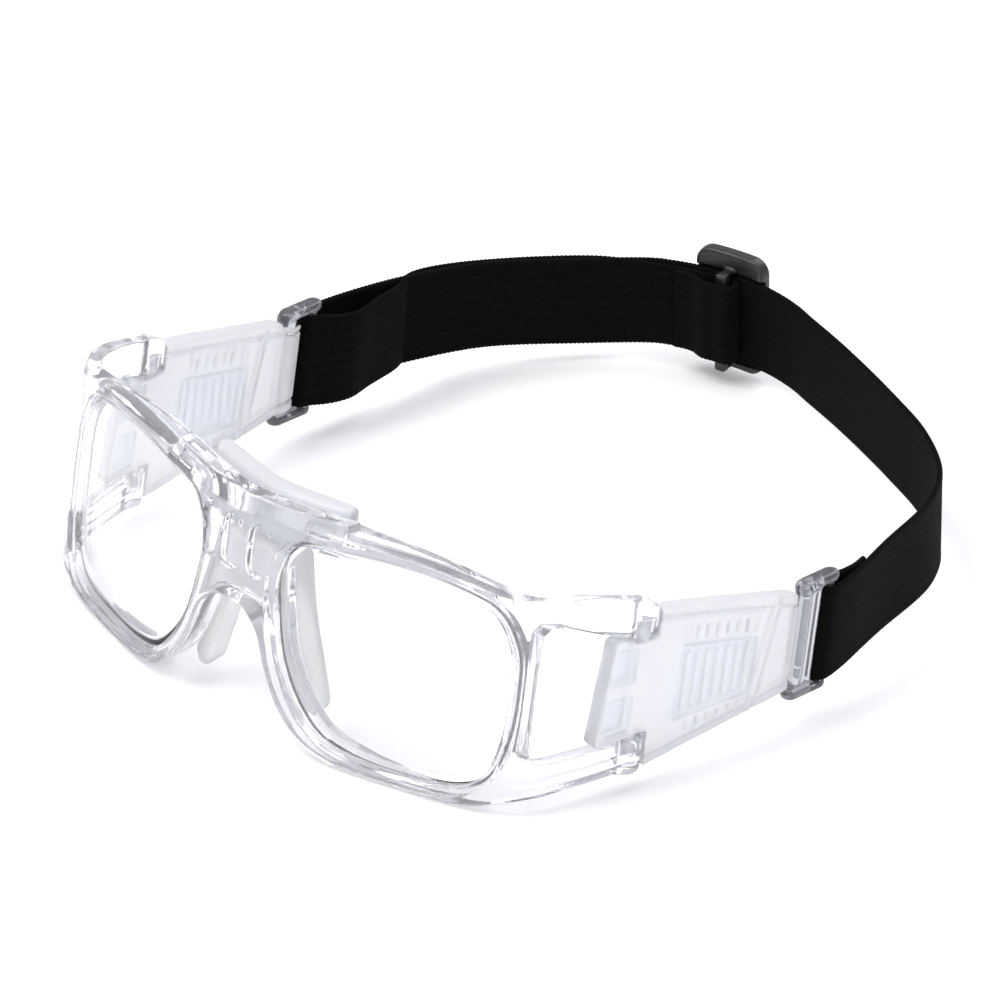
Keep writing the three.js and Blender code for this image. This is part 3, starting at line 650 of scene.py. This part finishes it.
def temple_arm(side):
    step = 0.4
    low = (68, -55, 2)
    x, y, z = grid(low, (81, 7, 40.5), step)
    across = (x - HINGE_X - ARM_SPLAY * (y - HINGE_Y))
    plate = polygon_distance(PLATE, y, z)
    arm = smax(plate, np.abs(across) - ARM_THICK / 2, 0.7)
    for low_z, high_z in EYE_ROOMS:
        room = smax(np.hypot(x - HINGE_X, y - HINGE_Y) - EYE_R - EYE_CLEAR, outside(z, low_z, high_z), 0.2)
        arm = smax(arm, -room, 0.3)
    # the hook round the ring's front bar, open behind, and cut back where the ring's flange swivels
    bar_room = np.hypot(x - RING_X, y - RING_FRONT_Y) - RING_BAR_R - GAP
    hook = smax(bar_room - HOOK_WALL, np.abs(z - HOOK_LEVEL) - HOOK_HALF, 0.4)
    arm = smin(arm, hook, 0.5)
    arm = smax(arm, -bar_room, 0.2)
    arm = smax(arm, -smax(RING_X + 0.2 - x, -0.9 - y, 0.3), 0.3)
    arm = smax(arm, -smax(RING_X - 1.3 - x, RING_FRONT_Y + 0.2 - y, 0.2), 0.3)
    arm = smax(arm, -smax(28.0 - z, -1.2 - y, 0.2), 0.3)
    arm = smax(arm, y - RING_FRONT_Y - RING_BAR_R - GAP - HOOK_WALL, 0.2)
    # a recessed panel on both faces, with raised round-ended ribs on the outer one
    panel = polygon_distance(PANEL, y, z)
    face = ARM_THICK / 2 - np.abs(across)
    ribs = np.full(np.broadcast(y, z).shape, NO_RIB)
    combs = ribs.copy()
    for i in range(RIBS):
        at = RIB_START + i * RIB_STEP
        top, low_end = PANEL_TOP - (at - PANEL_TOP_Y) * PANEL_SLOPE, PANEL_LOW
        middle, reach = (top + low_end) / 2, (top - low_end) / 2 - 1.9
        ribs = np.minimum(ribs, stadium(y - at, z - middle, reach, RIB_R))
        for end in (-1, 1):
            comb = stadium(y - at - RIB_STEP / 2, z - middle - end * (reach + 4.4), 1.1, COMB_R)
            combs = np.minimum(combs, comb)
    ribs = np.where(across > 0, ribs, NO_RIB)
    recess = smax(smax(panel, -ribs, 0.45), face - PANEL_DEEP, 0.3)
    arm = smax(arm, -recess, 0.3)
    comb_depth = np.where(across > 0, 0.5, 0.25)
    arm = smax(arm, -smax(combs, face - comb_depth, 0.2), 0.25)
    for block in TONGUE_PANELS:
        arm = smax(arm, -smax(polygon_distance(block, y, z), face - TONGUE_DEEP, 0.3), 0.3)
    # the border line behind the panel, and a step that follows the top and bottom edges
    border = smax(np.abs(y + 9.4 - (z - 9.3) * 0.17) - 0.35, face - 0.5, 0.15)
    edge = smax(np.abs(np.minimum(z - arm_low(y), arm_high(y) - z) - 2.3) - 0.3, face - 0.4, 0.15)
    edge = smax(edge, -36.5 - y, 0.2)
    arm = smax(arm, -smin(border, edge, 0.1), 0.25)
    for low_z, high_z in BOSS_SPANS:
        boss = smax(np.hypot(x - HINGE_X, y - HINGE_Y) - PIN_R, outside(z, low_z, high_z), 0.3)
        arm = smin(arm, boss, 0.2)
    verts, faces = surface(arm, low, step)
    middles = verts[faces].mean(1)
    y0, z0 = middles[:, 1], middles[:, 2]
    splay = np.abs(middles[:, 0] - HINGE_X - ARM_SPLAY * (y0 - HINGE_Y))
    thin = (polygon_distance(PANEL, y0, z0) < 0.2) & (splay < ARM_THICK / 2 - 0.25)
    for block in TONGUE_PANELS:
        thin |= (polygon_distance(block, y0, z0) < 0) & (splay < ARM_THICK / 2 - 0.15)
    return (*for_side(verts, faces, side), thin)


def strap_ring(side):
    step = 0.3
    low = (73, -2, 2.5)
    x, y, z = grid(low, (80, 13, 34), step)
    middle_z, half_z = (RING_LOW + RING_HIGH) / 2, (RING_HIGH - RING_LOW) / 2
    v = y - RING_FRONT_Y - RING_PITCH / 2
    plan = stadium(x - RING_X, v, RING_PITCH / 2, RING_THICK / 2)
    caps = smax(plan, np.abs(np.abs(z - middle_z) - half_z + RING_CAP / 2) - RING_CAP / 2, 1.1)
    tall = np.abs(z - middle_z) - half_z + 1.2
    front = box_distance((x - RING_X, y - RING_FRONT_Y), FRONT_BAR_HALF, 0.9)
    flange = box_distance((x - RING_X - FLANGE_X, y - RING_FRONT_Y - FLANGE_Y), FLANGE_HALF, 0.6)
    front = smin(front, flange, 0.4)
    rear = np.hypot(x - RING_X, y - RING_FRONT_Y - RING_PITCH) - REAR_BAR_R
    bars = smax(smin(front, rear, 0.05), tall, 0.3)
    ring = smin(caps, bars, 0.7)
    verts, faces = surface(ring, low, step)
    # the caps' faces, which take the darker plastic: painted shade
    thick = np.abs(verts[faces].mean(1)[:, 2] - middle_z) > half_z - RING_CAP - 0.4
    return (*for_side(verts, faces, side), thick)


# --- strap ------------------------------------------------------------------------------------
# One length of webbing: sewn round the left ring, over the outer layer to the right ring, round it,
# back as the inner layer, and round the slider's centre bar, where its end is sewn down.
LAYER = REAR_BAR_R + GAP + STRAP_THICK / 2 + 0.1
LAP = STRAP_THICK + GAP
RING_REAR_Y = RING_FRONT_Y + RING_PITCH
RIGHT_SIDE = [(-78, 20), (-75.9, 36), (-71.2, 53), (-60, 70.3)]
BEND_FROM, BEND_TO = -35, 18
LEFT_SIDE = [(2.4, 81.6), (24.2, 74.6), (39.4, 68.6), (53.8, 59), (63, 47.2), (71.4, 29), (76.9, 16)]
INNER_END = SLIDER_ANGLE - SLIDER_HALF - 5
STRAP_STEP = 0.25


def arc_point(angle, radius=ARC_R):
    a = math.radians(angle)
    return ARC_X + radius * math.sin(a), ARC_Y + radius * math.cos(a)


def arc_run(start, end, radius=ARC_R, step=5.0):
    count = max(1, round(abs(end - start) / step))
    return [arc_point(start + (end - start) * i / count, radius) for i in range(count + 1)]


def ring_turn(side, going_out):
    """Round a ring's rear bar, from its inner side to its outer one, or back."""
    bend = [(side * (RING_X + LAYER * math.cos(t)), RING_REAR_Y - LAYER * math.sin(t))
            for t in np.linspace(0, math.pi, 9)]
    return bend[::-1] if going_out else bend


def strap_route():
    tail = [(RING_X - 2.7, 20.6), (RING_X - 1.75, 17.4), (RING_X - 1.6, 14.0), (RING_X - 2.0, 11.0)]
    belly = [(-71.6, 12.5), (-70.6, 16.5), (-72.2, 22.5), (-74.4, 30)]
    right = offset(np.array(RIGHT_SIDE), LAP + 0.2)[1:]
    over = ARC_R - LAP
    centre_in = over - STRAP_THICK / 2 - GAP - SLIDER_WALL
    under = centre_in - GAP - STRAP_THICK / 2
    far = SLIDER_ANGLE + CENTRE_BAR
    middle = (over + under) / 2
    back = [arc_point(SLIDER_ANGLE - 9, over - LAP - 0.5), arc_point(SLIDER_ANGLE - 13, over - LAP),
            arc_point(INNER_END + 0.4, over - LAP)]
    legs = [tail, ring_turn(1, True), LEFT_SIDE[::-1], arc_run(BEND_TO, BEND_FROM), RIGHT_SIDE[::-1],
            ring_turn(-1, False), belly, right.tolist(), arc_run(BEND_FROM + 2, far + 0.2, over, 4),
            [arc_point(far + 1.5, middle + 1.2), arc_point(far + 1.5, middle - 1.2)],
            arc_run(far + 0.2, SLIDER_ANGLE - 5, under, 4), back]
    return np.array([p for leg in legs for p in leg])


route = strap_route()
route_length = np.linalg.norm(np.diff(catmull(route, 4000), axis=0), axis=1).sum()
strap_line = catmull(route, int(route_length / (STRAP_STEP * 1)))
strap_side = normals(strap_line)
strap_run = np.concatenate([[0], np.cumsum(np.linalg.norm(np.diff(strap_line, axis=0), axis=1))])


def nearest(point, after=0.0, before=1e9):
    """Index on the strap's line nearest a plan point, looking only at part of its length."""
    away = np.linalg.norm(strap_line - np.array(point), axis=1)
    away[(strap_run < after) | (strap_run > before)] = 1e9
    return int(away.argmin())


def strap_level(points):
    """Sets upright plan points to the strap's own level and lean, in metres."""
    p = np.array(points, float)
    y = p[:, 1]
    p[:, 2] += STRAP_BACK_LEVEL + (STRAP_RING_LEVEL - STRAP_BACK_LEVEL) * (1 - smoothstep(14, 74, y))
    p[:, 1] = y + LEAN * (p[:, 2] - LEAN_LEVEL) * (1 - smoothstep(16, 50, y)) + SHIFT_Y
    return p * MM


def section(height, run):
    """Strap section at a place along it: (outwards, up) pairs all round, with full, toothed edges."""
    half = STRAP_THICK / 2
    ups = np.linspace(0.55, height - 0.55, 34)
    tooth = 0.11 * np.cos(2 * math.pi * run / WEFT_PITCH)
    turn = np.linspace(-math.pi / 2, math.pi / 2, 7)
    low_edge, high_edge = (np.exp(-((away - 0.8) / 0.7) ** 2) for away in (ups, height - ups))
    plump = 0.95 + 0.10 * low_edge + 0.10 * high_edge
    side = np.stack([half * plump, ups], 1)
    across = half * 1.05 * np.cos(turn + math.pi / 2)
    rise = (0.5 + tooth) * np.cos(turn)
    top = np.stack([across, height - 0.55 + rise], 1)
    low = np.stack([across, 0.55 - rise], 1)
    return np.vstack([side, top[1:-1], (side * [-1, 1])[::-1], low[1:-1][::-1]])


def strap_length(name, start, end, heights, caps=(True, True)):
    """The webbing between two places on its line. Map coordinates run in mm along and across it."""
    rows = range(start, end + 1)
    rings, maps = [], []
    for i in rows:
        low, high = heights(strap_run[i])
        ring = section(high - low, strap_run[i]) + [0, low]
        base, side = strap_line[i], strap_side[i]
        out, up = ring.T
        rings.append(np.column_stack([base[0] + side[0] * out, base[1] + side[1] * out, up]))
        maps.append(np.column_stack([np.full(len(ring), strap_run[i]), up + 0.3 * np.sign(out)]))
    n = len(rings[0])
    verts = np.vstack(rings)
    cover = np.vstack(maps)
    faces = [(r * n + k, r * n + (k + 1) % n, (r + 1) * n + (k + 1) % n, (r + 1) * n + k)
             for r in range(len(rings) - 1) for k in range(n)]
    points = strap_level(verts)
    obj = make_object(name, points, faces, WEBBING)
    mesh = obj.data
    ends = bmesh.new()
    ends.from_mesh(mesh)
    for want, first in zip(caps, (0, (len(rings) - 1) * n)):
        if want:
            copy = [ends.verts.new(points[first + k]) for k in range(n)]
            ends.faces.new(copy if first else copy[::-1])
            cover = np.vstack([cover, cover[first:first + n]])
    bmesh.ops.recalc_face_normals(ends, faces=ends.faces)
    ends.to_mesh(mesh)
    ends.free()
    layer = mesh.uv_layers.new(name="cloth")
    index = np.empty(len(mesh.loops), int)
    mesh.loops.foreach_get("vertex_index", index)
    layer.data.foreach_set("uv", cover[index].ravel())
    return obj


def stitch_row(name, spots, length=1.5, radius=0.19):
    """Short thread stitches lying on the webbing: (place, direction, outward) in metres, as one mesh."""
    verts, faces = [], []
    for place_at, along, out in spots:
        across = np.cross(along, out)
        base = len(verts)
        for s in np.linspace(-1, 1, 7):
            lift = (1 - s * s) * 0.22 - 0.05
            for k in range(6):
                a = k * math.pi / 3
                verts.append(place_at + along * (s * length / 2 * MM)
                             + (out * (lift + radius * math.cos(a)) + across * radius * math.sin(a)) * MM)
        for r in range(6):
            for k in range(6):
                faces.append((base + r * 6 + k, base + r * 6 + (k + 1) % 6,
                              base + (r + 1) * 6 + (k + 1) % 6, base + (r + 1) * 6 + k))
        faces.append(tuple(base + k for k in range(6))[::-1])
        faces.append(tuple(base + 36 + k for k in range(6)))
    return make_object(name, np.array(verts), faces, THREAD)


def stitches(name, index, side, low, high, pitch=1.9, zigzag=0.55):
    """A row of stitches across the webbing at one place on its line, on the side given."""
    spots = []
    for n, up in enumerate(np.arange(low, high, pitch)):
        base, out2 = strap_line[index], strap_side[index] * side
        along2 = strap_line[min(index + 1, len(strap_line) - 1)] - strap_line[index - 1]
        along2 /= np.linalg.norm(along2)
        at = np.array([*(base + out2 * STRAP_THICK / 2), up])
        tip = at + np.array([*(along2 * zigzag * (1 if n % 2 else -1)), 1.0])
        pair = strap_level(np.array([at, tip]))
        line = pair[1] - pair[0]
        line /= np.linalg.norm(line)
        out = np.array([*out2, 0.0])
        out -= line * (out @ line)
        spots.append((pair.mean(0), line, out / np.linalg.norm(out)))
    return stitch_row(name, spots)


# --- slider -------------------------------------------------------------------------------------
def strap_slider():
    step = 0.3
    low = (-11, 39.5, -1)
    s, r, z = grid(low, (11, 49, 29.5), step)
    outer_r = ARC_R + STRAP_THICK / 2 + GAP + SLIDER_WALL
    centre_r = ARC_R - LAP - STRAP_THICK / 2 - GAP
    half = math.radians(SLIDER_HALF) * ARC_R
    middle, half_high = (SLIDER_LOW + SLIDER_HIGH) / 2, (SLIDER_HIGH - SLIDER_LOW) / 2
    up = z - middle
    outline = box_distance((s, up), (half, half_high), 3.4)
    window = box_distance((s, z - STRAP_MIDDLE), (half - SLIDER_BAR, SLIDER_WINDOW), 1.4)
    rails = smax(smax(outline, -window, 0.5), np.abs(r - outer_r + SLIDER_DEEP / 2) - SLIDER_DEEP / 2, 0.9)
    # between the rails the frame is only as deep as its bars, so that the strap passes in front of them
    above = np.abs(z - STRAP_MIDDLE) - STRAP_WIDE / 2 - GAP
    rails = smax(rails, smin(outer_r - SLIDER_WALL - r, -above, 0.3), 0.3)
    bar = math.radians(CENTRE_BAR) * ARC_R
    link_in = centre_r - SLIDER_WALL
    links = box_distance((s, r - (link_in + outer_r - 1) / 2, above - 0.5),
                         (bar - 0.6, (outer_r - 1 - link_in) / 2, 0.4), 0.3)
    centre = box_distance((s, r - centre_r + SLIDER_WALL / 2), (bar - 0.2, SLIDER_WALL / 2), 0.7)
    centre = smax(centre, above - 0.7, 0.5)
    field = smin(smin(rails, links, 0.5), centre, 0.5)
    verts, faces = surface(field, low, step)
    a = math.radians(SLIDER_ANGLE) + verts[:, 0] / ARC_R
    radius, up = verts[:, 1], verts[:, 2]
    points = np.column_stack([ARC_X + radius * np.sin(a), ARC_Y + radius * np.cos(a) + SHIFT_Y, up])
    return points * MM, faces


# --- assembly -------------------------------------------------------------------------------------
def keep(obj, body, nodes):
    if body:
        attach(obj, body)
    if nodes:
        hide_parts(*nodes)
    return obj


shell = make_object("front_frame_shell", *front_frame(), FRAME_PLASTIC)
keep(shell, "frame", ["front_frame"])
for side, word in ((1, "left"), (-1, "right")):
    clear = make_object(f"lens_{word}_clear", *lens(side), LENS_PLASTIC)
    # the edge band takes the darker plastic: painted shade
    clear.data.materials.append(LENS_EDGE_SHADE)
    for face in clear.data.polygons[LENS_RIM * len(OPENING):(LENS_RIM + 1) * len(OPENING)]:
        face.material_index = 1
    keep(clear, "frame", [f"lens_{word}"])
    *arm_shape, thin = temple_arm(side)
    arm = make_object(f"temple_arm_{word}_frosted", *arm_shape, ARM_PLASTIC)
    arm.data.materials.append(PANEL_PLASTIC)
    arm.data.polygons.foreach_set("material_index", thin.astype(np.int32))
    keep(arm, f"arm_{word}", [f"temple_arm_{word}"])
    *ring_shape, thick = strap_ring(side)
    ring = make_object(f"strap_ring_{word}_clear", *ring_shape, RING_PLASTIC)
    # the caps get the darker plastic: painted shade
    ring.data.materials.append(RING_CAPS_SHADE)
    ring.data.polygons.foreach_set("material_index", thick.astype(np.int32))
    keep(ring, f"ring_{word}", [f"strap_ring_{word}"])
for name, node, shape, look in (("brow_pad_soft", "brow_pad", brow_pad, BROW_SILICONE),
                                ("nose_pad_soft", "nose_pad", nose_pad, SILICONE)):
    pad = keep(make_object(name, *shape(), look), "frame", [node])
buckle = make_object("strap_slider_black", *strap_slider(), SLIDER_PLASTIC)
keep(buckle, "slider", ["strap_slider"])


def full_width(run):
    return 0.0, STRAP_WIDE


def narrowing(run):
    """The inner layer is a touch narrower than the outer one, and more so where it turns round the bar."""
    tuck = 0.3 * float(smoothstep(belly_run - 2, belly_run + 8, run))
    pulled = 1.1 * float(smoothstep(wrap_run - 14, wrap_run + 3, run))
    return tuck + pulled, STRAP_WIDE - tuck - 0.2 * pulled


left_turn = nearest((RING_X, RING_REAR_Y - LAYER))
left_free = nearest((74.2, 22.6), after=strap_run[left_turn] + 5)
left_bend = nearest((39.4, 68.6))
back_split = nearest((-69.6, 57.0))
right_free = nearest((-77.9, 21.5), before=strap_run[nearest((-78.75, 9))] + 1)
right_turn = nearest((-RING_X, RING_REAR_Y - LAYER))
belly_run = strap_run[right_turn] + 4
inner_free = nearest((-72.2, 22.5), after=strap_run[right_turn] + 4)
inner_split = nearest((-67.9, 56.4), after=strap_run[right_turn] + 30)
wrap_start = nearest(arc_point(INNER_END, ARC_R - LAP), after=strap_run[inner_split])
wrap_run = strap_run[wrap_start]
last = len(strap_line) - 1

FOLD_BEND = (74.5, 10.5), (74.5, 21)
RIGHT_BEND = (-77, 22), (-69.3, 56)

# each piece's first and last row on the line, its capped ends, its body, and for a piece that runs between
# two bodies the other one, with the plan places where the bend starts and ends; such a piece is baked in
# place and given no body
webbing = {
    "strap_loop_left_sewn": (0, left_free, (True, False),
                             "ring_left", "arm_left", *FOLD_BEND),
    "strap_outer_left": (left_free, left_bend, (False, False),
                         "arm_left", "frame", (76, 22), (43, 66)),
    "strap_outer_back": (left_bend, back_split, (False, False), "frame", None, None, None),
    "strap_outer_right": (back_split, right_free, (False, False),
                          "arm_right", "frame", *RIGHT_BEND),
    "strap_loop_right_turn": (right_free, inner_free, (False, False),
                              "ring_right", "arm_right", (-76, 10.5), (-75.5, 21)),
    "strap_inner_right": (inner_free, inner_split, (False, False),
                          "arm_right", "frame", *RIGHT_BEND),
    "strap_inner_back": (inner_split, wrap_start, (False, False),
                         "frame", "slider", (-68, 57.5), (-45, 83)),
    "strap_wrap_end": (wrap_start, last, (False, True), "slider", None, None, None),
}
STANDS_FOR = {"strap_loop_left_sewn": ["strap_loop_left"], "strap_outer_back": ["strap_outer"],
              "strap_loop_right_turn": ["strap_loop_right"], "strap_inner_back": ["strap_inner"],
              "strap_wrap_end": ["strap_wrap"]}


for name, (start, end, caps, one, other, bend_from, bend_to) in webbing.items():
    widths = narrowing if start >= right_free else full_width
    obj = strap_length(name, start, end, widths, caps)
    if other:
        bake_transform(obj)
    keep(obj, None if other else one, STANDS_FOR.get(name, []))

# stitching: two rows across the fold at the left ring, and two where the end is sewn behind the slider
for n, y in enumerate((12.4, 15.2)):
    at = nearest((RING_X - 1.9, y), before=strap_run[left_turn])
    sewn = stitches(f"stitch_fold_{n}", at, 1, 1.4, 18.2)
    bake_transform(sewn)
for n, angle in enumerate((INNER_END + 3.5, INNER_END + 6.0)):
    at = nearest(arc_point(angle, ARC_R - 2 * LAP), after=strap_run[wrap_start] + 15)
    sewn = stitches(f"stitch_wrap_{n}", at, -1, 1.6, 18.0)
    keep(sewn, "slider", [])


# --- stage, light and camera ------------------------------------------------------------------------
def studio():
    floor_mesh = bpy.data.meshes.new("studio_floor")
    reach = 3.0
    corners = [(-reach, -reach, 0), (reach, -reach, 0), (reach, reach, 0), (-reach, reach, 0)]
    floor_mesh.from_pydata(corners, [], [(0, 1, 2, 3)])
    floor_material, _, _ = principled("studio_white", (0.93, 0.93, 0.93), 0.9, Specular_IOR_Level=0.1)
    floor_mesh.materials.append(floor_material)
    floor = bpy.data.objects.new("studio_floor", floor_mesh)
    bpy.context.scene.collection.objects.link(floor)

    world = bpy.data.worlds.new("studio")
    bpy.context.scene.world = world
    world.use_nodes = True
    world.node_tree.nodes["Background"].inputs["Color"].default_value = (0.93, 0.94, 1.0, 1)
    world.node_tree.nodes["Background"].inputs["Strength"].default_value = 0.62

    for name, place_at, size, power in (("key", (-0.55, -0.75, 1.15), 0.9, 11.0),
                                        ("fill", (1.1, -0.5, 0.8), 0.9, 5.0),
                                        ("back", (-0.25, 1.1, 0.9), 1.0, 7.0),
                                        ("top", (0.0, 0.0, 1.4), 1.3, 9.0)):
        lamp = bpy.data.lights.new(name, "AREA")
        lamp.size, lamp.energy = size, power
        obj = bpy.data.objects.new(name, lamp)
        obj.location = place_at
        obj.rotation_euler = (-Vector(place_at)).to_track_quat("-Z", "Y").to_euler()
        bpy.context.scene.collection.objects.link(obj)


# the photo's view: its angles, how far away it is, how wide the picture is at the goggles, and its aim,
# a point midway between the strap rings, set a little off the picture's middle (degrees and metres)
CAMERA_AZIMUTH, CAMERA_ELEVATION = 47.5, 29
CAMERA_DISTANCE, PHOTO_WIDTH = 2.5, 0.2011
RING_SIGHT_Y, RING_SIGHT_Z, FRAMING_SHIFT = -0.00235, 0.0175, 0.00845
SENSOR_WIDTH = 36


def camera():
    azimuth, elevation = math.radians(CAMERA_AZIMUTH), math.radians(CAMERA_ELEVATION)
    away = Vector((math.sin(azimuth) * math.cos(elevation), -math.cos(azimuth) * math.cos(elevation),
                   math.sin(elevation)))
    right = Vector((math.cos(azimuth), math.sin(azimuth), 0))
    low_l, high_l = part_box("strap_ring_left")
    low_r, high_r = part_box("strap_ring_right")
    middle = (low_l + high_l + low_r + high_r) / 4
    middle.y += RING_SIGHT_Y - (low_l.y + high_l.y) / 2
    middle.z = RING_SIGHT_Z
    target = middle - right * FRAMING_SHIFT
    lens_data = bpy.data.cameras.new("photo_view")
    lens_data.sensor_width = SENSOR_WIDTH
    lens_data.lens = SENSOR_WIDTH * CAMERA_DISTANCE / PHOTO_WIDTH
    lens_data.clip_start, lens_data.clip_end = 0.05, 20
    view = bpy.data.objects.new("photo_view", lens_data)
    view.location = target + away * CAMERA_DISTANCE
    view.rotation_euler = away.to_track_quat("Z", "Y").to_euler()
    bpy.context.scene.collection.objects.link(view)
    bpy.context.scene.camera = view


studio()
camera()
bpy.context.scene.view_settings.view_transform = "Standard"
